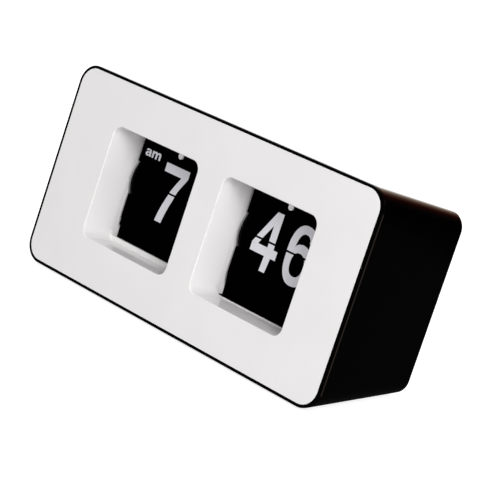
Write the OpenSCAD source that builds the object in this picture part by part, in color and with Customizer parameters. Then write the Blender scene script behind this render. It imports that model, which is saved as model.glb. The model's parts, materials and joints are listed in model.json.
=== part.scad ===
// Flip number clock: a rounded, tapering case, two leaf drums on one axle, and the train that turns them.
// The clock is drawn upright with its face at y = 0 and the bottom of its front rim at z = 0.
// The module leaned() then rests it on its flat underside, so the face leans back a little.

/* [Case] */
// Width of the front rim
case_w = 203; // [195:1:215]
// Height of the front rim
case_h = 101.4; // [98:0.2:106]
// Depth of the case, from the face to the rear edge
case_d = 70.9; // [70:0.1:78]
// How far each side draws in towards the back
taper_side = 8.0; // [5:0.1:9]
// How far the top comes down towards the back
taper_top = 5.6; // [4:0.1:9]
// How far the underside rises towards the back
taper_base = 8.0; // [6:0.1:9]
// Corner radius at the front
front_r = 10.2; // [8:0.1:12]
// Corner radius at the back
back_r = 8; // [6:0.5:9]
// Thickness of the case walls
wall = 2.2; // [1.8:0.1:2.4]
// Visible width of the black rim round the white face
rim = 1.4; // [1:0.1:2.5]
// Depth of the front rim, up to its seam with the body
seam = 1.42; // [1.2:0.02:2]

/* [Windows] */
// Distance between the centres of the two windows
window_pitch = 77.4; // [76:0.2:79]
// Offset of the pair of windows to the right of the middle
window_shift = 1.3; // [0:0.1:2]
// Width of each window
window_w = 58.2; // [58:0.1:59]
// Height of each window
window_h = 55.2; // [54:0.2:57]
// Corner radius of the windows
window_r = 4.5; // [3:0.5:6]
// Depth of the sunk windows
window_d = 18.4; // [18:0.1:18.6]
// Height of the lip over each sunk window
lip = 1.2; // [0.8:0.1:1.3]
// Height of the lip under the hour leaves
lip_hour = 2.3; // [0.8:0.1:2.6]
// Height of the lip under the minute leaves
lip_minute = 0.3; // [0.3:0.1:2.6]

/* [Leaves] */
// Width of a number leaf
leaf_w = 54.6; // [54:0.2:55]
// Height of a number leaf
leaf_h = 21; // [20:0.2:21]
// Thickness of a number leaf
leaf_t = 0.2; // [0.16:0.02:0.2]
// Depth of the front leaf behind the face
leaf_y = 18.8; // [18.8:0.1:19]
// Radius of the ring of leaf pins
pin_r = 14.46; // [14.4:0.02:14.6]
// Radius of the drum discs
disc_r = 16.3; // [16:0.1:16.5]
// Number of minute leaves
minute_leaves = 60; // [60]
// Number of hour leaves
hour_leaves = 24; // [24]

/* [Train] */
// Tooth size of the gears that join the two drums, minute side
module_minute = 0.7; // [0.7]
// Tooth size of the gears that join the two drums, hour side
module_hour = 0.6; // [0.6]
// Tooth size of the driven minute gear
module_drive = 0.5; // [0.5]
// Tooth size of the reduction gears
module_fine = 0.4; // [0.4]
// Radius of the time wheel that shows at the back
time_wheel_r = 10.5; // [9:0.1:10.8]

/* [Hidden] */

$fn = 64;
black = "#141316";
white = "#ececea";
steel = "#b9bcc0";
ivory = "#e6e1d2";

// Attitude: the clock rests on its flat underside, on thin feet
lean = atan(taper_base / (case_d - seam));
foot_t = 0.8;
edge_r = 1.5;
y_front = -seam * cos(lean);
y_back = (case_d - seam) * cos(lean) + (case_h - taper_top - edge_r) * sin(lean);

// Heights and centres
mid_z = case_h / 2;
back_w = case_w - 2 * taper_side;
back_h = case_h - taper_top - taper_base;
back_z = (case_h - taper_top + taper_base) / 2;
window_z = mid_z + 0.2;
hour_x = window_shift - window_pitch / 2;
minute_x = window_shift + window_pitch / 2;
panel_t = 1;
panel_back = 2.2;
ledge = 6;
tunnel_wall = 1.6;
lip_t = 1.4;
draft_x = 1.0;
draft_z = 0.4;
wing_t = 0.7;
wing_d = 4;
wing_h = 27.2;

// Drums
axis_z = mid_z + 5.3;
axis_y = leaf_y + leaf_t / 2 + pin_r;
axle_r = 1.5;
run = 0.05;
disc_t = 1.4;
disc_out = leaf_w / 2 - 1;
disc_in = disc_out - disc_t;
neck_h = 8.3;
leaf_pin_r = 0.3;
split_gap = 0.45;
groove_in = 12.9;
groove_out = 15.5;
groove_d = 0.9;
pack_r = pin_r - 0.35;
pack_lean = 6;
core_r = 10;

// Plates of the chassis
plate_t = 2;
centre_x = window_shift;
cheek_x = 70.9;
rail_y = leaf_y;
rail_t = 3;
retainer_z = mid_z + 22.8;

// Tooth counts
n_minute_pinion = 12;
n_transfer = 48;
n_transfer_pinion = 10;
n_hour = 60;
n_minute_gear = 60;
n_drive_pinion = 8;
n_wheel = 50;
n_wheel_pinion = 10;
n_time_pinion = 10;
n_motor = 10;
pressure = 25;
wheel_top = 0.7;
pinion_top = 0.9;
backlash = 0.12;

// Gear centres, each placed on the ones before it by its angle and centre distance
function polar(from, angle, distance) =
    [from[0] + distance * cos(angle), from[1] + distance * sin(angle)];
function spread(m, a, b) = m * (a + b) / 2;
drum_c = [axis_y, axis_z];
transfer_angle = 50;
transfer_c = polar(drum_c, transfer_angle, spread(module_minute, n_minute_pinion, n_transfer));
time_angle = -38;
time_c = polar(transfer_c, time_angle, spread(module_minute, n_transfer, n_time_pinion));
drive_angle = -50;
drive_c = polar(drum_c, drive_angle, spread(module_drive, n_minute_gear, n_drive_pinion));
reduce_angle = -76;
reduce_c = polar(drive_c, reduce_angle, spread(module_fine, n_wheel, n_wheel_pinion));
motor_angle = -20;
motor_c = polar(reduce_c, motor_angle, spread(module_fine, n_wheel, n_motor));

// The turn that puts gear b in mesh with gear a, when b lies at this angle from a
function mesh(angle, turn_a, a, b) =
    angle + 180 - (0.5 - (angle - turn_a) * a / 360) * 360 / b;
transfer_turn = mesh(transfer_angle, 0, n_minute_pinion, n_transfer);
transfer_pinion_turn = mesh(transfer_angle, 0, n_hour, n_transfer_pinion);
time_turn = mesh(time_angle, transfer_turn, n_transfer, n_time_pinion);
drive_turn = mesh(drive_angle, 0, n_minute_gear, n_drive_pinion);
reduce_turn = mesh(reduce_angle, 0, n_wheel, n_wheel_pinion);
motor_turn = mesh(motor_angle, 0, n_wheel, n_motor);

// Back
cover_y = case_d - 3.1;
cover_t = 2.2;
cell_r = 7.25;
cell_l = 50.5;
cell_c = [57.8, 20.2];
bay_x0 = -64;
bay_x1 = -6.4;
bay_y0 = 49.2;
bay_z = [11.6, 29];
door_x0 = bay_x0 + 1.5;
door_x1 = bay_x1 - 1.5;
door_z = [bay_z[0] + 1.2, bay_z[1] - 1.2];
door_gap = 0.25;
door_pin_r = 0.9;
door_hinge = [cover_y + 1.3, door_z[0] + 1.3];
door_pin_out = 1.2;
slot_x = [2.3, 6.5];
slot_half = 9.8;
screw_x = 82;
screw_z = [20, mid_z * 2 - 20];
boss_x = 80.5;
boss_z = [14.4, 86];
rods = [[27, 87], [62, 87], [26, 13], [64.5, 40]];

// ---------- Placing ----------

module leaned()
    translate([0, -(y_front + y_back) / 2, foot_t])
        rotate([-lean, 0, 0])
            translate([0, -seam, 0])
                children();

// A shape drawn in x and z, given a depth from y0 to y1
module deep(y0, y1)
    translate([0, y1, 0])
        rotate([90, 0, 0])
            linear_extrude(y1 - y0)
                children();

// A shape drawn in y and z, given a width from x0 to x1
module wide(x0, x1)
    translate([x0, 0, 0])
        rotate([90, 0, 90])
            linear_extrude(x1 - x0)
                children();

module rounded(w, h, r) {
    square([w - 2 * r, h], center = true);
    square([w, h - 2 * r], center = true);
    for (x = [-1, 1], z = [-1, 1])
        translate([x * (w / 2 - r), z * (h / 2 - r)])
            circle(r);
}

module rod(x0, x1, c, r)
    translate([x0, c[0], c[1]])
        rotate([0, 90, 0])
            cylinder(h = x1 - x0, r = r);

module tube(x0, x1, c, r, bore)
    difference() {
        rod(x0, x1, c, r);
        rod(x0 - 1, x1 + 1, c, bore);
    }

// ---------- Gears ----------

// Outline of one gear: teeth with involute flanks, narrowed a little for backlash
function involute(angle) = tan(angle) - angle * PI / 180;
function flank(rp, m, teeth, r) =
    let (base = rp * cos(pressure),
         here = acos(min(1, base / max(r, base))))
    (PI / 2 - backlash) / teeth * 180 / PI + (involute(pressure) - involute(here)) * 180 / PI;

function gear_points(m, teeth, top, steps) =
    let (rp = m * teeth / 2, tip = rp + top * m, root = rp - 1.25 * m)
    [for (i = [0 : teeth - 1], side = [-1, 1], s = [0 : steps])
        let (u = side < 0 ? s / steps : 1 - s / steps,
             r = root + u * (tip - root),
             a = i * 360 / teeth + side * flank(rp, m, teeth, r))
        [r * cos(a), r * sin(a)]];

module gear(x0, x1, c, turn, m, teeth, top, steps, bore)
    difference() {
        translate([x0, c[0], c[1]])
            rotate([90, 0, 90])
                linear_extrude(x1 - x0)
                    rotate(turn)
                        polygon(gear_points(m, teeth, top, steps));
        rod(x0 - 1, x1 + 1, c, bore);
    }

// ---------- Case ----------

module front_frame() color(black) leaned() {
    translate([0, 0, mid_z]) {
        deep(0, seam) difference() {
            rounded(case_w, case_h, front_r);
            rounded(case_w - 2 * rim, case_h - 2 * rim, front_r - rim);
        }
        deep(panel_t, seam) difference() {
            rounded(case_w, case_h, front_r);
            rounded(case_w - 2 * ledge, case_h - 2 * ledge, front_r - ledge);
        }
        deep(panel_t, 3.6) difference() {
            rounded(case_w - 5.4, case_h - 5.4, front_r - 2.7);
            rounded(case_w - 2 * ledge, case_h - 2 * ledge, front_r - ledge);
        }
    }
}

module front_panel() color(white) leaned() {
    difference() {
        union() {
            translate([0, 0, mid_z])
                deep(0, panel_t)
                    rounded(case_w - 2 * rim - 0.1, case_h - 2 * rim - 0.1, front_r - rim);
            translate([0, 0, mid_z])
                deep(0.5, panel_back)
                    rounded(case_w - 2 * ledge - 0.2, case_h - 2 * ledge - 0.2, front_r - ledge);
            for (x = [hour_x, minute_x])
                translate([x, 0, window_z])
                    deep(0.5, window_d)
                        rounded(window_w + 2 * tunnel_wall, window_h + 2 * tunnel_wall,
                                window_r + tunnel_wall);
            for (x = [-boss_x, boss_x], z = boss_z)
                translate([x, 0, z])
                    deep(0.5, rail_y)
                        circle(3.2);
        }
        for (x = [hour_x, minute_x])
            translate([x, 0, window_z]) {
                hull() {
                    deep(-0.01, 0)
                        rounded(window_w + 2 * draft_x, window_h + 2 * draft_z, window_r + 1, $fn = 48);
                    deep(window_d - lip_t - 0.01, window_d - lip_t)
                        rounded(window_w, window_h, window_r, $fn = 48);
                }
                low = x < 0 ? lip_hour : lip_minute;
                deep(window_d - lip_t - 0.1, window_d + 1)
                    translate([0, (low - lip) / 2])
                        rounded(window_w, window_h - low - lip, window_r - 2);
                translate([-7.5, window_d - lip_t - 0.4, window_h / 2 - 3])
                    cube([12.5, 5, 10]);
            }
        rod(8.5, minute_x - window_w / 2 - wing_t, drum_c,
            module_drive * (n_minute_gear / 2 + wheel_top) + 0.5);
        for (x = [-boss_x, boss_x], z = boss_z)
            translate([x, 0, z])
                deep(7, rail_y + 1)
                    circle(1.2);
    }
    // Thin wings carry the side walls on past the edges of the leaves
    for (x = [hour_x, minute_x], side = [-1, 1])
        translate([x + side * (window_w / 2 + wing_t / 2) - wing_t / 2, window_d - 0.1, window_z - wing_h])
            cube([wing_t, wing_d, 2 * wing_h]);
}

// One rounded slice across the case
module slice(y, z, w, h, r)
    translate([0, y, z])
        rotate([90, 0, 0])
            linear_extrude(0.01)
                rounded(w, h, r);

module body_shell() color(black) leaned() {
    difference() {
        hull() {
            slice(seam + 0.01, mid_z, case_w, case_h, front_r, $fn = 48);
            slice(case_d - edge_r, back_z, back_w, back_h, back_r, $fn = 48);
            slice(case_d, back_z, back_w - 2 * edge_r, back_h - 2 * edge_r, back_r - edge_r, $fn = 48);
        }
        hull() {
            slice(seam - 0.5, mid_z, case_w - 2 * wall, case_h - 2 * wall, front_r - wall, $fn = 48);
            slice(case_d + 0.5, back_z, back_w - 2 * wall, back_h - 2 * wall, back_r - wall, $fn = 48);
        }
    }
    for (x = [-1, 1], z = screw_z)
        difference() {
            translate([x * screw_x, 0, z])
                deep(50, cover_y) {
                    circle(3.4);
                    translate([x > 0 ? 0 : -10.4, -1])
                        square([10.4, 2]);
                }
            translate([x * screw_x, 0, z])
                deep(54, cover_y + 1)
                    circle(1.3);
        }
}

module back_cover() color(black) leaned()
    difference() {
        translate([0, 0, back_z])
            deep(cover_y, cover_y + cover_t)
                rounded(back_w - 2 * wall - 0.6, back_h - 2 * wall - 0.6, back_r - wall);
        translate([door_x0, cover_y - 1, door_z[0]])
            cube([door_x1 - door_x0, cover_t + 2, door_z[1] - door_z[0]]);
        rod(door_x0 - door_pin_out - 0.2, door_x1 + door_pin_out + 0.2, door_hinge, door_pin_r + run);
        translate([slot_x[0], cover_y - 1, time_c[1] - slot_half])
            cube([slot_x[1] - slot_x[0], cover_t + 2, 2 * slot_half]);
        for (x = [-1, 1], z = screw_z)
            translate([x * screw_x, 0, z]) {
                deep(cover_y - 1, cover_y + cover_t + 1)
                    circle(1.6);
                deep(cover_y + cover_t - 0.9, cover_y + cover_t + 1)
                    circle(3);
            }
        for (i = [0 : 6])
            translate([30 + i * 4, cover_y - 1, 66])
                cube([1.6, cover_t + 2, 12]);
    }

module screw(c, y_head, length, r, head_r)
    translate([c[0], 0, c[1]]) {
        difference() {
            deep(y_head - 0.9, y_head)
                circle(head_r);
            for (turn = [0, 90])
                translate([0, y_head, 0])
                    rotate([0, turn, 0])
                        cube([head_r * 1.2, 0.8, 0.5], center = true);
        }
        deep(y_head - length, y_head - 0.9)
            circle(r);
    }

module back_cover_screws() color(steel) leaned()
    for (x = [-screw_x, screw_x], z = screw_z)
        screw([x, z], cover_y + cover_t, 12, 1.3, 2.8);

module rubber_feet() color("#2b2b2d")
    for (x = [-78, 78], y = [-26, 20])
        translate([x, y, 0])
            cylinder(h = foot_t, r = 5);

// ---------- Battery ----------

module battery_door() color(black) leaned() {
    x0 = door_x0 + door_gap;
    x1 = door_x1 - door_gap;
    translate([x0, door_hinge[0] - door_pin_r, door_hinge[1]])
        cube([x1 - x0, 2 * door_pin_r, door_z[1] - door_gap - door_hinge[1]]);
    rod(door_x0 - door_pin_out, door_x1 + door_pin_out, door_hinge, door_pin_r);
    for (i = [0 : 3])
        translate([x0 + 18, cover_y + cover_t - 0.2, door_z[1] - 5.5 + i * 1.2])
            cube([x1 - x0 - 36, 0.7, 0.5]);
}

module battery_bay() color("#2a2a2c") leaned()
    difference() {
        translate([bay_x0, bay_y0, bay_z[0]])
            cube([bay_x1 - bay_x0, cover_y - bay_y0, bay_z[1] - bay_z[0]]);
        translate([bay_x0 + 1.2, bay_y0 + 1.2, bay_z[0] + 1.2])
            cube([bay_x1 - bay_x0 - 2.4, cover_y - bay_y0, bay_z[1] - bay_z[0] - 2.4]);
    }

cell_x0 = bay_x1 - 1.2 - 0.8 - cell_l;
module battery_cell() color("#8f949b") leaned() {
    rod(cell_x0, cell_x0 + cell_l - 1.2, cell_c, cell_r);
    rod(cell_x0 + cell_l - 1.2, cell_x0 + cell_l, cell_c, 2.7);
}

module battery_contact() color(steel) leaned()
    translate([bay_x1 - 1.9, bay_y0 + 3, bay_z[0] + 3])
        cube([0.4, 12, bay_z[1] - bay_z[0] - 6]);

// A conical contact spring, drawn as stacked rings joined by short steps
module battery_spring() color(steel) leaned()
    for (i = [0 : 3])
        translate([bay_x0 + 1.6 + i * 0.95, cell_c[0], cell_c[1]])
            rotate([0, 90, 0])
                rotate_extrude()
                    translate([4.6 - i * 0.5, 0])
                        circle(0.4, $fn = 16);

// ---------- Chassis ----------

module plate_outline()
    difference() {
        union() {
            translate([19, 9.5])
                square([14, 82]);
            translate([19, axis_z - 9])
                square([47.6, 18]);
            translate([19, 80])
                square([45.5, 11.5]);
            translate([30, 24])
                square([36.6, 24]);
        }
        translate([19, 22.5])
            square([4, 57]);
    }

module cheek(x0)
    difference() {
        wide(x0, x0 + plate_t)
            plate_outline();
        rod(x0 - 1, x0 + plate_t + 1, drum_c, axle_r);
        for (c = rods)
            rod(x0 - 1, x0 + plate_t + 1, c, 1.5);
        for (z = [boss_z[0], boss_z[1]])
            translate([x0 - 1, rail_y - 1, z - 3])
                cube([plate_t + 2, rail_t + 1, 6]);
    }

module left_cheek() color(black) leaned()
    cheek(centre_x - cheek_x - plate_t);

module right_cheek() color(black) leaned()
    cheek(centre_x + cheek_x);

module centre_plate() color(black) leaned() {
    x0 = centre_x - plate_t / 2;
    difference() {
        wide(x0, x0 + plate_t)
            union() {
                plate_outline();
                translate([44, 62])
                    square([22, 20]);
            }
        rod(x0 - 1, x0 + plate_t + 1, drum_c, axle_r);
        rod(x0 - 1, x0 + plate_t + 1, transfer_c, axle_r + run);
        for (c = rods)
            rod(x0 - 1, x0 + plate_t + 1, c, 1.5);
        for (c = [time_c, drive_c, reduce_c])
            rod(x0 - 1, x0 + plate_t + 1, c, 1);
        for (z = [boss_z[0], boss_z[1]])
            translate([x0 - 1, rail_y - 1, z - 3])
                cube([plate_t + 2, rail_t + 1, 6]);
    }
}

module rail(z)
    difference() {
        translate([-boss_x - 4, rail_y, z - 3])
            cube([2 * boss_x + 8, rail_t, 6]);
        for (x = [-boss_x, boss_x])
            translate([x, 0, z])
                deep(rail_y - 1, rail_y + rail_t + 1)
                    circle(1.4);
    }

module bottom_rail() color(black) leaned()
    rail(boss_z[0]);

module top_rail() color(black) leaned()
    rail(boss_z[1]);

module chassis_screws() color(steel) leaned()
    for (x = [-boss_x, boss_x], z = boss_z)
        screw([x, z], rail_y + rail_t + 0.9, 13, 1.2, 2.6);

module tie_rods() color(steel) leaned()
    for (c = rods)
        rod(centre_x - cheek_x - plate_t - 2, centre_x + cheek_x + plate_t + 2, c, 1.5);

module drum_axle() color(steel) leaned()
    rod(centre_x - cheek_x - plate_t - 3, centre_x + cheek_x + plate_t + 3, drum_c, axle_r);

module axle_clips() color(steel) leaned()
    for (x = [centre_x - cheek_x - plate_t - 1, centre_x + cheek_x + plate_t + 0.2])
        tube(x, x + 0.8, drum_c, 3.2, axle_r);

module gear_studs() color(steel) leaned()
    for (c = [time_c, drive_c, reduce_c])
        rod(centre_x - plate_t / 2 - 1, centre_x + 9.6, c, 1);

module retainer(x, finger) {
    translate([x - 4.5, rail_y - 1.2, window_z + window_h / 2 - 2.4])
        cube([9, 1.2, boss_z[1] + 3 - window_z - window_h / 2 + 2.4]);
    translate([x + finger, 0, retainer_z])
        deep(rail_y - 1.2, leaf_y - 0.3) {
            translate([0, 1.4])
                circle(1.4);
            translate([-1.4, 1.4])
                square([2.8, 4]);
        }
}

module minute_retainer() color(white) leaned()
    retainer(minute_x - 1.2, -1);

module hour_retainer() color(white) leaned()
    retainer(hour_x, 0);

// ---------- Drums ----------

// A drum turned about the axle: core, two grooved discs, and a hub out to the centre plate
module drum(x, hub_end) {
    start = min(x - disc_out, hub_end);
    stop = max(x + disc_out, hub_end);
    difference() {
        union() {
            rod(x - disc_out, x - disc_in, drum_c, disc_r);
            rod(x + disc_in, x + disc_out, drum_c, disc_r);
            rod(x - disc_in - 0.1, x + disc_in + 0.1, drum_c, core_r);
            rod(start, stop, drum_c, 2.6);
        }
        rod(start - 1, stop + 1, drum_c, axle_r + run);
        rod(x - disc_in + 2, x + disc_in - 2, drum_c, core_r - 1.4);
        for (side = [-1, 1])
            tube(x + side * (disc_in + groove_d / 2 - 0.01) - groove_d / 2,
                 x + side * (disc_in + groove_d / 2 - 0.01) + groove_d / 2,
                 drum_c, groove_out, groove_in);
    }
}

minute_hub = centre_x + plate_t / 2 + 0.3;
hour_hub = centre_x - plate_t / 2 - 0.3;

module minute_drum() color(black) leaned()
    drum(minute_x, minute_hub);

module hour_drum() color(black) leaned()
    drum(hour_x, hour_hub);

module minute_drum_gear() color(black) leaned()
    gear(8.8, 10, drum_c, 0, module_drive, n_minute_gear, wheel_top, 2, 2.6);

module minute_transfer_pinion() color(black) leaned()
    gear(6.3, 8.7, drum_c, 0, module_minute, n_minute_pinion, pinion_top, 3, 2.6);

module hour_drum_gear() color(black) leaned()
    gear(-6.3, -3.9, drum_c, 0, module_hour, n_hour, wheel_top, 2, 2.6);

// ---------- Leaves ----------

// One leaf in its own plane: wide body, and a narrower neck that passes between the discs.
// The front leaf also has the round pins it swings on.
module leaf(pins) {
    neck = disc_in - 0.2;
    translate([-leaf_w / 2, -leaf_t / 2, neck_h])
        cube([leaf_w, leaf_t, leaf_h - neck_h]);
    translate([-neck, -leaf_t / 2, split_gap])
        cube([2 * neck, leaf_t, neck_h - split_gap]);
    if (pins)
        for (side = [-1, 1]) {
            rod(side * (neck + 0.15) - 0.75, side * (neck + 0.15) + 0.75, [0, 0], leaf_pin_r);
            translate([side * (neck - 0.4) - 0.4, -leaf_t / 2, 0])
                cube([0.8, leaf_t, split_gap + 0.1]);
        }
}

// Leaves above the pins: each leans back over the one behind it, from upright round to hanging
module upper_leaves(x, count) {
    step = 360 / count;
    for (i = [1 : count / 2 - 1])
        translate([x, axis_y, axis_z])
            rotate([-i * step, 0, 0])
                translate([0, -pack_r, 0])
                    rotate([pack_lean, 0, 0])
                        leaf(false);
}

// Leaves below the pins hang straight down, packed behind one another where the ring is steep
module lower_leaves(x, count) {
    step = 360 / count;
    pile = leaf_t + 0.05;
    front_y = leaf_y + 1.5 * leaf_t + 0.06;
    half = count / 4;
    for (i = [0 : half - 1]) {
        drop = i * step;
        ahead = max(front_y + pile * i, axis_y - pack_r * cos(drop));
        behind = min(axis_y + pack_r - 0.3 - pile * (i + 1), axis_y + pack_r * cos(drop + step));
        translate([x, ahead, axis_z - pack_r * sin(drop)])
            rotate([180, 0, 0])
                leaf(false);
        translate([x, behind, axis_z - pack_r * sin(drop + step) - 1])
            rotate([180, 0, 0])
                leaf(false);
    }
}

module minute_upper_leaves() color(black) leaned()
    upper_leaves(minute_x, minute_leaves);

module minute_lower_leaves() color(black) leaned()
    lower_leaves(minute_x, minute_leaves);

module hour_upper_leaves() color(black) leaned()
    upper_leaves(hour_x, hour_leaves);

module hour_lower_leaves() color(black) leaned()
    lower_leaves(hour_x, hour_leaves);

module falling_leaf(x)
    translate([x, leaf_y + leaf_t / 2, axis_z])
        leaf(true);

module minute_falling_leaf() color(black) leaned()
    falling_leaf(minute_x);

module hour_falling_leaf() color(black) leaned()
    falling_leaf(hour_x);

// ---------- Train ----------

module transfer_wheel() color(ivory) leaned() {
    gear(6.6, 8.6, transfer_c, transfer_turn, module_minute, n_transfer, wheel_top, 2, axle_r);
    rod(-6.5, 9.6, transfer_c, axle_r);
}

module transfer_pinion() color(steel) leaned()
    gear(-6.4, -3.7, transfer_c, transfer_pinion_turn, module_hour, n_transfer_pinion,
         pinion_top, 3, axle_r);

module compound(x_wheel, x_pinion, c, turn, m, teeth, pinion_turn) {
    gear(x_wheel, x_wheel + 1.8, c, turn, module_fine, n_wheel, wheel_top, 2, 1 + run);
    gear(x_pinion, x_pinion + 2.6, c, pinion_turn, m, teeth, pinion_top, 3, 1 + run);
    if (x_pinion > x_wheel + 1.8)
        tube(x_wheel + 1.7, x_pinion + 0.1, c, 1.4, 1 + run);
}

module drive_wheel() color(ivory) leaned()
    compound(6.4, 8.6, drive_c, 0, module_drive, n_drive_pinion, drive_turn);

module reduction_wheel() color(ivory) leaned()
    compound(3.2, 6.1, reduce_c, 0, module_fine, n_wheel_pinion, reduce_turn);

motor_x0 = 14.5;
module motor_pinion() color(steel) leaned() {
    gear(3, 5.4, motor_c, motor_turn, module_fine, n_motor, pinion_top, 3, 0.75);
    rod(3, motor_x0 - 0.1, motor_c, 0.75);
}

module time_wheel() color(black) leaned()
    difference() {
        rod(2.9, 5.9, time_c, time_wheel_r);
        rod(1, 8, time_c, 1 + run);
        for (i = [0 : 35])
            translate([2, time_c[0], time_c[1]])
                rotate([i * 10, 0, 0])
                    translate([0, time_wheel_r, -0.35])
                        rotate([45, 0, 0])
                            cube([5, 0.7, 0.7]);
    }

module time_wheel_pinion() color(ivory) leaned()
    gear(5.9, 8.7, time_c, time_turn, module_minute, n_time_pinion, pinion_top, 3, 1 + run);

module motor_housing() color("#e9e6dc") leaned()
    difference() {
        translate([motor_x0, 50, 13])
            cube([26, 16.5, 22]);
        rod(motor_x0 - 1, motor_x0 + 2, motor_c, 1.2);
    }

module motor_stator() color("#6d7075") leaned()
    difference() {
        translate([41, 51, 14.5])
            cube([4, 14, 19]);
        translate([40, 54.5, 19])
            cube([6, 7, 10]);
    }

module motor_coil() color("#a4582a") leaned()
    difference() {
        rod(45.4, 57.4, [58, 24], 6);
        rod(44, 59, [58, 24], 1.6);
    }

board_x = 77.4;
module circuit_board() color("#1d6b3c") leaned()
    difference() {
        translate([board_x, 24, 42])
            cube([1.6, 32, 34]);
        for (c = [[28, 46], [28, 72]])
            rod(board_x - 1, board_x + 3, c, 1.1);
    }

module board_parts() color("#222222") leaned() {
    translate([board_x + 1.6, 36, 54])
        cube([1.2, 9, 9]);
    rod(board_x + 1.6, board_x + 8, [49, 70], 2.5);
    translate([board_x + 1.6, 30, 64])
        cube([2, 3, 8]);
    for (c = [[28, 46], [28, 72]])
        rod(centre_x + cheek_x + plate_t, board_x, c, 2);
}

front_frame();
front_panel();
body_shell();
back_cover();
back_cover_screws();
rubber_feet();
battery_door();
battery_bay();
battery_cell();
battery_contact();
battery_spring();
left_cheek();
centre_plate();
right_cheek();
top_rail();
bottom_rail();
chassis_screws();
tie_rods();
drum_axle();
axle_clips();
gear_studs();
minute_drum();
minute_drum_gear();
minute_transfer_pinion();
minute_upper_leaves();
minute_lower_leaves();
minute_falling_leaf();
minute_retainer();
hour_drum();
hour_drum_gear();
hour_upper_leaves();
hour_lower_leaves();
hour_falling_leaf();
hour_retainer();
transfer_wheel();
transfer_pinion();
drive_wheel();
reduction_wheel();
motor_pinion();
time_wheel();
time_wheel_pinion();
motor_housing();
motor_stator();
motor_coil();
circuit_board();
board_parts();
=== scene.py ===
"""Flip number clock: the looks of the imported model, piece by piece, in its own frame."""
import json
import math

import bpy
import bmesh
from mathutils import Matrix, Vector


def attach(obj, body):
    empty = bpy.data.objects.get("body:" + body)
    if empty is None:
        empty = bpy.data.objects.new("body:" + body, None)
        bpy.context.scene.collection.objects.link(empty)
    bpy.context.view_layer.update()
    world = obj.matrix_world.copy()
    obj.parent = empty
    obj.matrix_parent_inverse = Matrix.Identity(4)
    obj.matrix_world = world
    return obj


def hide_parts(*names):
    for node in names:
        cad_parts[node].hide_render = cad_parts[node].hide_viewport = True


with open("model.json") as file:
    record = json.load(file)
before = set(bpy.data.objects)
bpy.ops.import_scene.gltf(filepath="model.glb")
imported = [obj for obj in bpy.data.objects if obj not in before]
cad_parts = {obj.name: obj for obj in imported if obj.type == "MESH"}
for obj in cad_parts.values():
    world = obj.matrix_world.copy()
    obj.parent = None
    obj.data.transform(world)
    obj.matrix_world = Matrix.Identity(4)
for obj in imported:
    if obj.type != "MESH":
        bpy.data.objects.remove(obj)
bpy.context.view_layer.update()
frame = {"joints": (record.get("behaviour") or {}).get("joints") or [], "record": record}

# ---------- Driving dimensions, in millimetres, in the clock's own upright frame ----------
# x to the right as the clock is read, y back from the face, z up from the bottom of the rim

CASE_W, CASE_H, CASE_D = 203.0, 101.4, 70.9
TAPER_SIDE, TAPER_TOP, TAPER_BASE = 8.0, 5.6, 8.0
SEAM = 1.42
EDGE_R = 1.5
FRONT_R, BACK_R = 10.2, 8.0
WALL = 2.2
RIM = 1.4
LEDGE = 6.0
MID_Z = CASE_H / 2
WINDOW_PITCH, WINDOW_SHIFT = 77.4, 1.3
WINDOW_W, WINDOW_H, WINDOW_R = 58.2, 55.2, 4.5
WINDOW_Z = MID_Z + 0.2
WINDOW_D = 18.4
LIP, LIP_HOUR, LIP_MINUTE, LIP_T = 1.2, 2.3, 0.3, 1.4
DRAFT_X, DRAFT_Z = 1.0, 0.4
WING_T, WING_D, WING_H = 0.7, 4.0, 27.2
TUNNEL_WALL, SLEEVE_END = 1.6, 17.6
PANEL_BACK = 2.2
BOSS_X, BOSS_Z, BOSS_R = 80.5, (14.4, 86.0), 3.2
SCREW_X, SCREW_Z, SCREW_POST_R = 82, (20, CASE_H - 20), 3.4
MOUTH = 0.5
# The notch in the top of each lip, where the retainer finger comes down: its two ends and their slope
NOTCH_LEFT, NOTCH_RIGHT, NOTCH_STEP = -7.5, 5.0, 0.02
SHARP = 35  # degrees between two faces from which their edge is drawn sharp
HOUR_X = WINDOW_SHIFT - WINDOW_PITCH / 2
MINUTE_X = WINDOW_SHIFT + WINDOW_PITCH / 2
LEAF_W, LEAF_H, LEAF_T = 54.6, 21.0, 0.2
INK_T = 0.02
LEAF_Y = 18.8
SPLIT_GAP = 0.45
PIN_R = 14.46
AXIS_Y = LEAF_Y + LEAF_T / 2 + PIN_R
AXIS_Z = MID_Z + 5.3
LEAN = math.atan(TAPER_BASE / (CASE_D - SEAM))
MM = 0.001

# The clock's frame is hung on the minute drum's axis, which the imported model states
DRUM_AT = Vector(next(j["pos_m"] for j in frame["joints"] if j["name"] == "minute_drum_spin"))
TO_ROW = (
    Matrix.Translation(DRUM_AT)
    @ Matrix.Rotation(-LEAN, 4, "X")
    @ Matrix.Scale(MM, 4)
    @ Matrix.Translation((-MINUTE_X, -AXIS_Y, -AXIS_Z))
)


# ---------- Camera, light and floor ----------

def camera():
    """The photograph's viewing angle: from the right and a little above, rolled."""
    cam = bpy.data.objects.new("camera", bpy.data.cameras.new("camera"))
    bpy.context.collection.objects.link(cam)
    cam.data.lens = 146.5
    cam.data.clip_end = 20
    at = Vector((603.6, -644.3, 136.4 + MID_Z))
    heading, pitch, roll = math.radians(41.64), math.radians(-8.72), math.radians(18.45)
    turn = (
        Matrix.Rotation(heading, 3, "Z")
        @ Matrix.Rotation(math.pi / 2 + pitch, 3, "X")
        @ Matrix.Rotation(roll, 3, "Z")
    )
    upright = Matrix.Rotation(-LEAN, 3, "X") @ turn
    cam.matrix_world = Matrix.Translation(TO_ROW @ at) @ upright.to_4x4()
    bpy.context.scene.camera = cam


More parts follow.
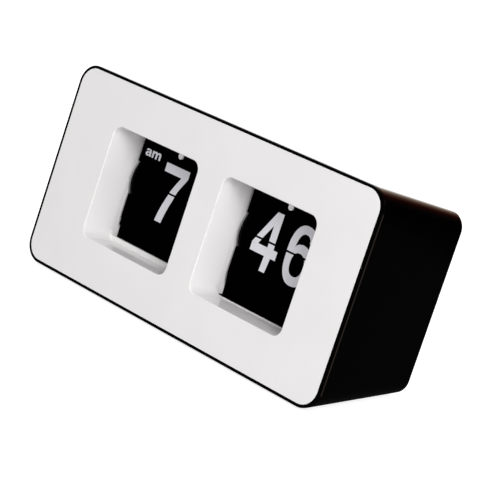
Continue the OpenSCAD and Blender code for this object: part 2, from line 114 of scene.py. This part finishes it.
def area_light(name, at, aim, size, watts):
    """A rectangular light that lights surfaces but is never mirrored in them."""
    data = bpy.data.lights.new(name, "AREA")
    data.shape = "RECTANGLE"
    data.size, data.size_y = size
    data.energy = watts
    lamp = bpy.data.objects.new(name, data)
    bpy.context.collection.objects.link(lamp)
    lamp.location = at
    lamp.rotation_euler = (Vector(aim) - Vector(at)).to_track_quat("-Z", "Y").to_euler()
    lamp.visible_glossy = False


def card(name, at, aim, size, glow):
    """A lit card that is only seen mirrored: glow lists (place across, colour, strength)."""
    data = bpy.data.meshes.new(name)
    w, h = size[0] / 2, size[1] / 2
    data.from_pydata([(-w, -h, 0), (w, -h, 0), (w, h, 0), (-w, h, 0)], [], [(0, 1, 2, 3)])
    mat = bpy.data.materials.new(name)
    mat.use_nodes = True
    nodes, links = mat.node_tree.nodes, mat.node_tree.links
    nodes.clear()
    where = nodes.new("ShaderNodeTexCoord")
    split = nodes.new("ShaderNodeSeparateXYZ")
    across = nodes.new("ShaderNodeMapRange")
    across.inputs["From Min"].default_value = -w
    across.inputs["From Max"].default_value = w
    ramp = nodes.new("ShaderNodeValToRGB")
    shine = nodes.new("ShaderNodeEmission")
    out = nodes.new("ShaderNodeOutputMaterial")
    peak = max(strength for _, _, strength in glow)
    stops = ramp.color_ramp.elements
    stops[0].position, stops[1].position = glow[0][0], glow[-1][0]
    for place, _, _ in glow[1:-1]:
        stops.new(place)
    for stop, (_, colour, strength) in zip(stops, glow):
        stop.color = (*[c * strength / peak for c in colour], 1)
    shine.inputs["Strength"].default_value = peak
    links.new(where.outputs["Object"], split.inputs["Vector"])
    links.new(split.outputs["X"], across.inputs["Value"])
    links.new(across.outputs["Result"], ramp.inputs["Fac"])
    links.new(ramp.outputs["Color"], shine.inputs["Color"])
    links.new(shine.outputs["Emission"], out.inputs["Surface"])
    data.materials.append(mat)
    obj = bpy.data.objects.new(name, data)
    bpy.context.collection.objects.link(obj)
    obj.location = at
    obj.rotation_euler = (Vector(aim) - Vector(at)).to_track_quat("-Z", "Y").to_euler()
    obj.visible_camera = obj.visible_diffuse = obj.visible_shadow = obj.visible_transmission = False


def studio():
    """A white room that lights the clock evenly, and stays dark where the black plastic mirrors it."""
    scene = bpy.context.scene
    scene.view_settings.view_transform = "Standard"
    world = bpy.data.worlds.new("studio")
    scene.world = world
    world.use_nodes = True
    nodes, links = world.node_tree.nodes, world.node_tree.links
    back = nodes["Background"]
    back.inputs["Color"].default_value = (1, 1, 1, 1)
    path = nodes.new("ShaderNodeLightPath")
    dim = nodes.new("ShaderNodeMix")
    dim.inputs["A"].default_value = 0.62
    dim.inputs["B"].default_value = 0.02
    links.new(path.outputs["Is Glossy Ray"], dim.inputs["Factor"])
    seen = nodes.new("ShaderNodeMix")
    seen.inputs["B"].default_value = 1.0
    links.new(path.outputs["Is Camera Ray"], seen.inputs["Factor"])
    links.new(dim.outputs["Result"], seen.inputs["A"])
    links.new(seen.outputs["Result"], back.inputs["Strength"])
    area_light("key", (1.5, -0.75, 0.55), (0, 0, 0.05), (0.9, 0.9), 8)
    area_light("high key", (1.4, -0.9, 0.9), (0, 0, 0.05), (0.7, 0.7), 12.5)
    area_light("back light", (-0.7, 1.5, 0.8), (0, 0, 0.05), (1.2, 0.9), 20)
    # Mirrored by the curve where the top of the case meets its right side
    card("back card", (-0.9, 1.5, 1.35), (-0.9, 0, 1.35), (4.2, 3.3),
         [(0.2, (1, 0.4, 0.4), 0.0), (0.255, (1, 0.3, 0.3), 0.04), (0.3, (1, 0.1, 0.05), 0.055),
          (0.33, (1, 0.28, 0.15), 0.11), (0.36, (1, 0.4, 0.27), 0.21), (0.392, (1, 0.55, 0.39), 0.34),
          (0.42, (1, 0.69, 0.53), 0.48), (0.45, (1, 0.78, 0.65), 0.68), (0.49, (1, 0.88, 0.78), 1.05),
          (0.52, (1, 1, 1), 1.5)])
    # Mirrored by the top of the case when it is seen from behind
    card("sky card", (0, -1.3, 1.25), (0, 0, 0.3), (4.4, 1.4),
         [(0.0, (1, 1, 1), 0.0), (0.22, (1, 1, 1), 0.5), (0.5, (1, 1, 1), 0.15),
          (0.78, (1, 1, 1), 0.5), (1.0, (1, 1, 1), 0.0)])
    # Mirrored by the chamfer round the front of the case
    card("front card", (1.2, -0.93, -0.24), (0.1, 0, 0.05), (0.6, 0.6),
         [(0.0, (1, 0.75, 0.65), 1.5), (1.0, (1, 0.75, 0.65), 1.5)])
    side = 8.0
    floor = bpy.data.objects.new("floor", bpy.data.meshes.new("floor"))
    bpy.context.collection.objects.link(floor)
    floor.data.from_pydata(
        [(-side, -side, 0), (side, -side, 0), (side, side, 0), (-side, side, 0)], [], [(0, 1, 2, 3)])
    paper = bpy.data.materials.new("paper")
    paper.use_nodes = True
    shade = paper.node_tree.nodes["Principled BSDF"]
    shade.inputs["Base Color"].default_value = (0.5, 0.5, 0.5, 1)
    shade.inputs["Roughness"].default_value = 0.9
    shade.inputs["Emission Color"].default_value = (1, 1, 1, 1)
    shade.inputs["Emission Strength"].default_value = 0.8
    floor.data.materials.append(paper)
    floor.visible_glossy = floor.visible_diffuse = False


camera()
studio()

# ---------- Materials ----------

def plastic(name, colour, rough, spec=0.5, grain=900, bump=0.02, vary=0.05):
    """Moulded plastic: a little mottling in its gloss, and a fine bump at grain cycles a metre."""
    mat = bpy.data.materials.new(name)
    mat.use_nodes = True
    nodes, links = mat.node_tree.nodes, mat.node_tree.links
    shade = nodes["Principled BSDF"]
    shade.inputs["Specular IOR Level"].default_value = spec
    where = nodes.new("ShaderNodeTexCoord")
    fine = nodes.new("ShaderNodeTexNoise")
    fine.inputs["Scale"].default_value = grain
    fine.inputs["Detail"].default_value = 4
    broad = nodes.new("ShaderNodeTexNoise")
    broad.inputs["Scale"].default_value = 35
    broad.inputs["Detail"].default_value = 3
    for node in (fine, broad):
        links.new(where.outputs["Object"], node.inputs["Vector"])
    gloss = nodes.new("ShaderNodeMapRange")
    gloss.inputs["To Min"].default_value = max(0.0, rough - vary)
    gloss.inputs["To Max"].default_value = rough + vary
    links.new(broad.outputs["Fac"], gloss.inputs["Value"])
    links.new(gloss.outputs["Result"], shade.inputs["Roughness"])
    tone = nodes.new("ShaderNodeMix")
    tone.data_type = "RGBA"
    tone.inputs["A"].default_value = (*[c * 0.96 for c in colour], 1)
    tone.inputs["B"].default_value = (*[min(1, c * 1.04) for c in colour], 1)
    links.new(broad.outputs["Fac"], tone.inputs["Factor"])
    links.new(tone.outputs["Result"], shade.inputs["Base Color"])
    rise = nodes.new("ShaderNodeBump")
    rise.inputs["Strength"].default_value = bump
    rise.inputs["Distance"].default_value = 0.0002
    links.new(fine.outputs["Fac"], rise.inputs["Height"])
    links.new(rise.outputs["Normal"], shade.inputs["Normal"])
    return mat


def metal(name, colour, rough, streak=(1, 1, 1)):
    """Metal with fine drawn streaks, stretched by the scale given for each axis."""
    mat = plastic(name, colour, rough, grain=1, bump=0.05, vary=0.08)
    nodes, links = mat.node_tree.nodes, mat.node_tree.links
    nodes["Principled BSDF"].inputs["Metallic"].default_value = 1
    stretch = nodes.new("ShaderNodeMapping")
    stretch.inputs["Scale"].default_value = [600 * s for s in streak]
    links.new(nodes["Texture Coordinate"].outputs["Object"], stretch.inputs["Vector"])
    fine = next(n for n in nodes if n.type == "TEX_NOISE")
    links.new(stretch.outputs["Vector"], fine.inputs["Vector"])
    return mat


MATERIALS = {
    "black_gloss": plastic("black_gloss", (0.0006, 0.0004, 0.0004), 0.1, spec=0.25, bump=0.008,
                           vary=0.03),
    "black_satin": plastic("black_satin", (0.03, 0.029, 0.029), 0.38, spec=0.4, grain=2600, bump=0.2),
    "white_face": plastic("white_face", (0.9, 0.885, 0.885), 0.13, spec=0.3, bump=0.006, vary=0.02),
    "leaf_black": plastic("leaf_black", (0.0007, 0.0003, 0.0004), 0.55, spec=0.0, grain=1800,
                          bump=0.05),
    "drum_black": plastic("drum_black", (0.0008, 0.0005, 0.0005), 0.4, spec=0.03, bump=0.05),
    "ivory_plastic": plastic("ivory_plastic", (0.74, 0.71, 0.62), 0.45, grain=1500, bump=0.06),
    "gear_plastic": plastic("gear_plastic", (0.8, 0.78, 0.72), 0.38, bump=0.03),
    "steel": metal("steel", (0.58, 0.58, 0.6), 0.28, (0.2, 1, 1)),
    "rubber": plastic("rubber", (0.02, 0.02, 0.02), 0.8, spec=0.25, grain=2500, bump=0.25),
    "cell_skin": plastic("cell_skin", (0.12, 0.16, 0.24), 0.3, spec=0.6, bump=0.01),
    "copper": metal("copper", (0.62, 0.24, 0.1), 0.35, (1, 0.1, 1)),
    "board_green": plastic("board_green", (0.015, 0.14, 0.06), 0.3, grain=700, bump=0.04),
    "board_black": plastic("board_black", (0.015, 0.015, 0.015), 0.5, bump=0.05),
}
INK = plastic("leaf_ink", (0.74, 0.735, 0.78), 0.5, spec=0.25, grain=2200, bump=0.08)

SLOTS = {s["node"]: s["material_slot"] for s in frame["record"]["subparts"]}
BODY_OF = {n: b for b, ns in frame["record"]["behaviour"]["bodies"].items() for n in ns}


# ---------- Mesh helpers ----------

def finish_mesh(mesh, node):
    """A finished mesh becomes the look of a node: smooth but for its sharp edges, on its body."""
    for face in mesh.polygons:
        face.use_smooth = True
    mesh.set_sharp_from_angle(angle=math.radians(SHARP))
    obj = bpy.data.objects.new(node + "_look", mesh)
    bpy.context.collection.objects.link(obj)
    mesh.materials.clear()
    mesh.materials.append(MATERIALS[SLOTS[node]])
    even = obj.modifiers.new("even normals", "WEIGHTED_NORMAL")
    even.keep_sharp = True
    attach(obj, BODY_OF[node])
    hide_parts(node)


def softened(node, width):
    """A CAD node with its flat faces joined up and its edges rounded by width, in millimetres."""
    bm = bmesh.new()
    bm.from_mesh(bpy.data.objects[node].data)
    bmesh.ops.remove_doubles(bm, verts=bm.verts, dist=1e-6)
    bmesh.ops.dissolve_limit(bm, angle_limit=math.radians(0.5), verts=bm.verts, edges=bm.edges)
    if width:
        bm.normal_update()
        edges = [e for e in bm.edges
                 if len(e.link_faces) == 2 and e.calc_face_angle(0) > math.radians(32)]
        bmesh.ops.bevel(bm, geom=edges, offset=width * MM, segments=2, profile=0.5,
                        affect="EDGES", clamp_overlap=True)
    mesh = bpy.data.meshes.new(node + "_look")
    bm.to_mesh(mesh)
    bm.free()
    finish_mesh(mesh, node)


def rounded(w, h, r, cx, cz, seg, stops=()):
    """Points round a rounded rectangle, counter-clockwise from the front, with stops along its top."""
    points = []
    for k, (sx, sz) in enumerate(((1, -1), (1, 1), (-1, 1), (-1, -1))):
        for i in range(seg + 1):
            a = math.radians(-90 + 90 * k + 90 * i / seg)
            points.append((cx + sx * (w / 2 - r) + r * math.cos(a),
                           cz + sz * (h / 2 - r) + r * math.sin(a)))
        if k == 1:
            points += [(cx + x, cz + h / 2) for x in stops]
    return points


class Loft:
    """Rings of points in the clock's upright frame, skinned one to the next."""

    def __init__(self):
        self.bm = bmesh.new()

    def ring(self, outline, y):
        return [self.bm.verts.new((x, y, z)) for x, z in outline]

    def skin(self, rings, closed=False):
        pairs = list(zip(rings, rings[1:])) + ([(rings[-1], rings[0])] if closed else [])
        for a, b in pairs:
            for i in range(len(a)):
                j = (i + 1) % len(a)
                self.bm.faces.new((a[i], a[j], b[j], b[i]))

    def plate(self, *loops):
        """Fills the flat space between one outer ring and the rings of its holes."""
        edges = []
        for loop in loops:
            for i in range(len(loop)):
                pair = (loop[i - 1], loop[i])
                edges.append(self.bm.edges.get(pair) or self.bm.edges.new(pair))
        bmesh.ops.triangle_fill(self.bm, use_beauty=True, use_dissolve=False, edges=edges)

    def post(self, x, z, r, y0, y1):
        circle = [(x + r * math.cos(a), z + r * math.sin(a))
                  for a in (math.radians(15 * i) for i in range(24))]
        a, b = self.ring(circle, y0), self.ring(circle, y1)
        self.skin([a, b])
        self.bm.faces.new(a[::-1])
        self.bm.faces.new(b)

    def block(self, centre, size):
        corners = bmesh.ops.create_cube(self.bm, size=1)["verts"]
        bmesh.ops.scale(self.bm, vec=size, verts=corners)
        bmesh.ops.translate(self.bm, vec=centre, verts=corners)

    def piece(self, node):
        """The finished rings become the look of this node."""
        bmesh.ops.recalc_face_normals(self.bm, faces=self.bm.faces)
        mesh = bpy.data.meshes.new(node + "_look")
        self.bm.to_mesh(mesh)
        self.bm.free()
        mesh.transform(TO_ROW)
        finish_mesh(mesh, node)


# ---------- Case ----------

def front_frame():
    """The thin black rim round the face, with the flange behind it that the face rests on."""
    profile = [(1.4, 1.0), (1.4, 0.2), (1.35, 0.06), (1.22, 0), (0.28, 0), (0.09, 0.07), (0, 0.28),
               (0, 1.2), (0.06, 1.36), (0.2, 1.42), (2.7, 1.42), (2.7, 3.6), (LEDGE, 3.6), (LEDGE, 1.0)]
    loft = Loft()
    rings = [loft.ring(rounded(CASE_W - 2 * i, CASE_H - 2 * i, FRONT_R - i, 0, MID_Z, 20), y)
             for i, y in profile]
    loft.skin(rings, closed=True)
    loft.piece("front_frame")


def front_panel():
    """The white face: two sunk windows with rounded mouths, each tunnel ending in a notched lip."""
    loft = Loft()

    def whole(inset, y):
        return loft.ring(
            rounded(CASE_W - 2 * inset, CASE_H - 2 * inset, FRONT_R - inset, 0, MID_Z, 20), y)

    face = whole(RIM + 0.05 + 0.25, 0)
    back = whole(LEDGE + 0.1, PANEL_BACK)
    loft.skin([face, whole(RIM + 0.12, 0.07), whole(RIM + 0.05, 0.25), whole(RIM + 0.05, 1),
               whole(LEDGE + 0.1, 1), back])
    mouths, sleeves = [], []
    floor_y = WINDOW_D - LIP_T

    def in_notch(x):
        return NOTCH_LEFT - NOTCH_STEP / 2 < x < NOTCH_RIGHT + NOTCH_STEP / 2

    for cx, low in ((HOUR_X, LIP_HOUR), (MINUTE_X, LIP_MINUTE)):
        def opening(y, side, top, bottom, r, notch=False):
            line = rounded(WINDOW_W + 2 * side, WINDOW_H + top + bottom, r,
                           cx, WINDOW_Z + (top - bottom) / 2, 14,
                           (NOTCH_RIGHT + NOTCH_STEP, NOTCH_RIGHT, NOTCH_LEFT, NOTCH_LEFT - NOTCH_STEP))
            if notch:
                line = [(x, WINDOW_Z + WINDOW_H / 2) if in_notch(x - cx) and z > WINDOW_Z else (x, z)
                        for x, z in line]
            return loft.ring(line, y)

        def outer(y):
            return opening(y, TUNNEL_WALL, TUNNEL_WALL, TUNNEL_WALL, WINDOW_R + TUNNEL_WALL)

        rings = []
        for a in (math.radians(22.5 * k) for k in range(5)):
            edge, y = MOUTH * (1 - math.sin(a)), MOUTH * (1 - math.cos(a))
            narrow = 1 - y / floor_y
            side, rise = DRAFT_X * narrow + edge, DRAFT_Z * narrow + edge
            rings.append(opening(y, side, rise, rise, WINDOW_R + rise))
        rings += [opening(floor_y - 0.15, 0, 0, 0, WINDOW_R),
                  opening(floor_y, 0, -0.1, -0.1, WINDOW_R - 0.2, True),
                  opening(floor_y, 0, 0.1 - LIP, 0.1 - low, 2.6, True),
                  opening(floor_y + 0.15, 0, -LIP, -low, 2.5, True),
                  opening(WINDOW_D, 0, -LIP, -low, 2.5, True),
                  opening(WINDOW_D, 0.65, 0.65, 0.65, WINDOW_R),
                  opening(SLEEVE_END, 0.8, 0.8, 0.8, WINDOW_R),
                  outer(SLEEVE_END - 0.1), outer(PANEL_BACK)]
        loft.skin(rings)
        mouths.append(rings[0])
        sleeves.append(rings[-1])
        for side in (-1, 1):
            loft.block((cx + side * (WINDOW_W + WING_T) / 2, WINDOW_D + WING_D / 2 - 0.1, WINDOW_Z),
                       (WING_T, WING_D, 2 * WING_H))
    loft.plate(face, *mouths)
    loft.plate(back, *sleeves)
    for x in (-BOSS_X, BOSS_X):
        for z in BOSS_Z:
            loft.post(x, z, BOSS_R, PANEL_BACK, LEAF_Y)
    loft.piece("front_panel")


def body_shell():
    """The tapering black case, hollow, with a rounded rear edge and four screw posts."""
    loft = Loft()
    rear = CASE_D - EDGE_R

    def section(y, inset):
        s = min(1.0, (y - SEAM) / (rear - SEAM))
        w = CASE_W - 2 * TAPER_SIDE * s
        low, high = TAPER_BASE * s, CASE_H - TAPER_TOP * s
        r = FRONT_R + (BACK_R - FRONT_R) * s
        return loft.ring(
            rounded(w - 2 * inset, high - low - 2 * inset, r - inset, 0, (low + high) / 2, 20), y)

    rings = [section(SEAM + 0.02, WALL), section(SEAM + 0.02, 0.6), section(SEAM + 0.6, 0.0)]
    rings += [section(SEAM + (rear - SEAM) * k / 6, 0.0) for k in range(1, 7)]
    rings += [section(rear + EDGE_R * math.sin(a), EDGE_R * (1 - math.cos(a)))
              for a in (math.radians(18 * k) for k in range(1, 6))]
    rings += [section(CASE_D, WALL - 0.2), section(CASE_D - 0.2, WALL), section(rear, WALL)]
    loft.skin(rings, closed=True)
    for x in (-SCREW_X, SCREW_X):
        for z in SCREW_Z:
            loft.post(x, z, SCREW_POST_R, 50, CASE_D - 3.1)
    loft.piece("body_shell")


# ---------- Leaves and their printing ----------

NECK_H = 8.3
NECK_W = LEAF_W / 2 - 1 - 1.4 - 0.2


def bow(cx, cz, a, b, start, stop, steps=14, power=2.3):
    """Points on a squarish oval from one angle to another, in degrees."""
    points = []
    for i in range(steps + 1):
        t = math.radians(start + (stop - start) * i / steps)
        c, s = math.cos(t), math.sin(t)
        points.append((cx + a * math.copysign(abs(c) ** (2 / power), c),
                       cz + b * math.copysign(abs(s) ** (2 / power), s)))
    return points


# Each glyph is a list of outlines, in millimetres, about the middle of its own width and height
GLYPHS = {
    "7": [[(-8.3, 14.2), (8.3, 14.2), (8.3, 10.5), (6.9, 7.9), (5.5, 5.6), (4.3, 3.3), (3.2, 0.6),
           (2.3, -2.4), (1.2, -5.8), (0.2, -9.6), (-0.6, -14.2), (-5.2, -14.2), (-4.5, -10.0),
           (-3.5, -6.2), (-2.3, -2.6), (-1.0, 0.8), (0.5, 3.9), (2.0, 6.7), (3.8, 9.8), (-8.3, 9.8)]],
    "4": [[(1.5, 14.2), (5.6, 14.2), (5.6, -2.8), (8.3, -2.8), (8.3, -7.0), (5.3, -7.0), (4.5, -14.2),
           (0.9, -14.2), (1.3, -7.0), (-8.3, -7.0), (-8.3, -2.9)],
          [(1.6, 7.6), (1.6, -2.8), (-4.5, -2.8)]],
    "6": [bow(0.3, 6.9, 7.0, 7.3, 2, 90) + bow(0.3, 1.0, 8.2, 13.2, 92, 180)
          + bow(0, -2.0, 8.0, 12.2, 180, 268) + bow(0, -4.4, 8.0, 9.8, 270, 448, 28)
          + bow(0.4, 1.2, 4.6, 4.0, 100, 156, 6)
          + bow(0.5, 1.5, 4.3, 8.8, 168, 92) + bow(0.5, 6.9, 3.2, 3.4, 90, 2)],
    "8": [bow(0, 6.9, 7.2, 7.3, -48, 228, 34) + bow(0, -6.1, 8.0, 8.1, 140, 400, 34)],
    "a": [[(-1.9, 0.75), (-1.6, 1.4), (-0.9, 1.75), (0.0, 1.8), (1.0, 1.7), (1.6, 1.3), (1.8, 0.6),
           (1.8, -0.9), (1.85, -1.45), (2.05, -1.8), (0.8, -1.8), (0.65, -1.4), (0.1, -1.75),
           (-0.65, -1.88), (-1.5, -1.65), (-1.95, -1.1), (-1.95, -0.5), (-1.6, 0.05), (-0.9, 0.3),
           (0.2, 0.45), (0.55, 0.6), (0.5, 0.85), (0.0, 1.0), (-0.5, 0.9), (-0.65, 0.65)],
          [(0.55, -0.15), (-0.3, -0.3), (-0.7, -0.6), (-0.65, -0.95), (-0.3, -1.1), (0.2, -1.0),
           (0.5, -0.65)]],
    "m": [[(-3.15, -1.8), (-3.15, 1.7), (-2.05, 1.7), (-2.0, 1.3), (-1.55, 1.65), (-0.95, 1.8),
           (-0.25, 1.75), (0.25, 1.3), (0.75, 1.65), (1.45, 1.8), (2.35, 1.75), (2.95, 1.3),
           (3.15, 0.6), (3.15, -1.8), (1.9, -1.8), (1.9, 0.3), (1.7, 0.75), (1.25, 0.85), (0.8, 0.6),
           (0.6, 0.1), (0.6, -1.8), (-0.6, -1.8), (-0.6, 0.3), (-0.8, 0.75), (-1.25, 0.85),
           (-1.7, 0.6), (-1.9, 0.1), (-1.9, -1.8)]],
}
GLYPHS["6"].append(bow(0, -4.3, 4.1, 5.5, 0, 352, 36))
GLYPHS["8"] += [bow(0, 6.9, 3.5, 3.6, 0, 352, 30), bow(0, -6.1, 4.0, 4.2, 0, 352, 30)]

AM = [("a", -22.3, 14.1), ("m", -16.6, 14.1)]
PRINT = {
    "hour": (HOUR_X, [("7", 0.0, -0.6)] + AM, [("8", 0.0, -0.6)] + AM),
    "minute": (MINUTE_X, [("4", -10.6, 0.2), ("6", 10.6, 0.2)], [("4", -10.6, 0.2), ("7", 10.6, 0.2)]),
}


def printing(name, marks, upper, place, body, mirrored=False):
    """One half of some marks, cut at the split, as a thin print on a leaf at this place."""
    bm = bmesh.new()
    for glyph, dx, dz in marks:
        part = bmesh.new()
        edges = []
        for outline in GLYPHS[glyph]:
            ring = [part.verts.new((x + dx, 0, z + dz)) for x, z in outline]
            edges += [part.edges.new((ring[i - 1], ring[i])) for i in range(len(ring))]
        bmesh.ops.triangle_fill(part, use_beauty=True, edges=edges)
        flat = bpy.data.meshes.new("part")
        part.to_mesh(flat)
        part.free()
        bm.from_mesh(flat)
        bpy.data.meshes.remove(flat)
    bmesh.ops.bisect_plane(bm, geom=bm.verts[:] + bm.edges[:] + bm.faces[:],
                           plane_co=(0, 0, 0.5 if upper else -0.5), plane_no=(0, 0, -1 if upper else 1),
                           clear_outer=True)
    bmesh.ops.dissolve_limit(bm, angle_limit=0.01, verts=bm.verts, edges=bm.edges)
    shift = -1
    if mirrored:
        bmesh.ops.scale(bm, vec=(1, 1, -1), verts=bm.verts)
        shift = 1
    raised = bmesh.ops.extrude_face_region(bm, geom=bm.faces[:])["geom"]
    bmesh.ops.translate(bm, vec=(0, shift * INK_T, 0),
                        verts=[v for v in raised if isinstance(v, bmesh.types.BMVert)])
    bmesh.ops.recalc_face_normals(bm, faces=bm.faces)
    mesh = bpy.data.meshes.new(name)
    bm.to_mesh(mesh)
    bm.free()
    mesh.transform(TO_ROW @ place @ Matrix.Translation((0, shift * LEAF_T / 2, 0)))
    mesh.materials.append(INK)
    obj = bpy.data.objects.new(name, mesh)
    bpy.context.collection.objects.link(obj)
    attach(obj, body)


def falling_leaf(side, cx):
    """The front leaf: rounded outer corners, a neck that passes between the discs, and its pins."""
    r, pin_r, wide, neck = 1.0, 0.3, LEAF_W / 2, NECK_W
    half = [(neck, SPLIT_GAP), (neck, NECK_H - 0.4), (neck + 0.4, NECK_H), (wide - 0.3, NECK_H),
            (wide, NECK_H + 0.3)]
    half += [(wide - r + r * math.cos(a), LEAF_H - r + r * math.sin(a))
             for a in (math.radians(15 * k) for k in range(7))]
    outline = [(cx + x, AXIS_Z + z) for x, z in half]
    outline += [(cx - x, AXIS_Z + z) for x, z in reversed(half)]
    loft = Loft()
    front, back = loft.ring(outline, LEAF_Y), loft.ring(outline, LEAF_Y + LEAF_T)
    loft.skin([front, back])
    loft.bm.faces.new(front[::-1])
    loft.bm.faces.new(back)
    hinge_y = LEAF_Y + LEAF_T / 2
    for k in (-1, 1):
        rings = []
        for x in (neck - 0.6, neck + 0.9):
            rings.append([
                loft.bm.verts.new((cx + k * x, hinge_y + pin_r * math.cos(a), AXIS_Z + pin_r * math.sin(a)))
                for a in (math.radians(30 * i) for i in range(12))])
        loft.skin(rings)
        loft.bm.faces.new(rings[0][::-1])
        loft.bm.faces.new(rings[1])
        loft.block((cx + k * (neck - 0.4), hinge_y, AXIS_Z + 0.27), (0.8, LEAF_T, SPLIT_GAP + 0.1))
    loft.piece(side + "_falling_leaf")


def leaves():
    """Each side's front leaf, and the printing on both halves: now, and under it the next."""
    for side, count in (("hour", 24), ("minute", 60)):
        cx, now, after = PRINT[side]
        body = BODY_OF[side + "_falling_leaf"]
        falling_leaf(side, cx)
        hinge = Matrix.Translation((cx, LEAF_Y + LEAF_T / 2, AXIS_Z))
        printing(side + "_now_upper", now, True, hinge, body)
        printing(side + "_next_lower", after, False, hinge, body, mirrored=True)
        low = Matrix.Translation((cx, LEAF_Y + 1.5 * LEAF_T + 0.06, AXIS_Z))
        printing(side + "_now_lower", now, False, low, "root")
        behind = (
            Matrix.Translation((cx, AXIS_Y, AXIS_Z))
            @ Matrix.Rotation(math.radians(-360 / count), 4, "X")
            @ Matrix.Translation((0, -(PIN_R - 0.35), 0))
            @ Matrix.Rotation(math.radians(6), 4, "X")
        )
        printing(side + "_next_upper", after, True, behind, "root")


leaves()
front_frame()
front_panel()
body_shell()
for node in ("back_cover", "battery_door", "rubber_feet", "left_cheek", "centre_plate", "right_cheek",
             "top_rail", "bottom_rail", "motor_housing", "battery_bay"):
    softened(node, 0.25)
for node in SLOTS:
    if not bpy.data.objects[node].hide_render:
        softened(node, 0)
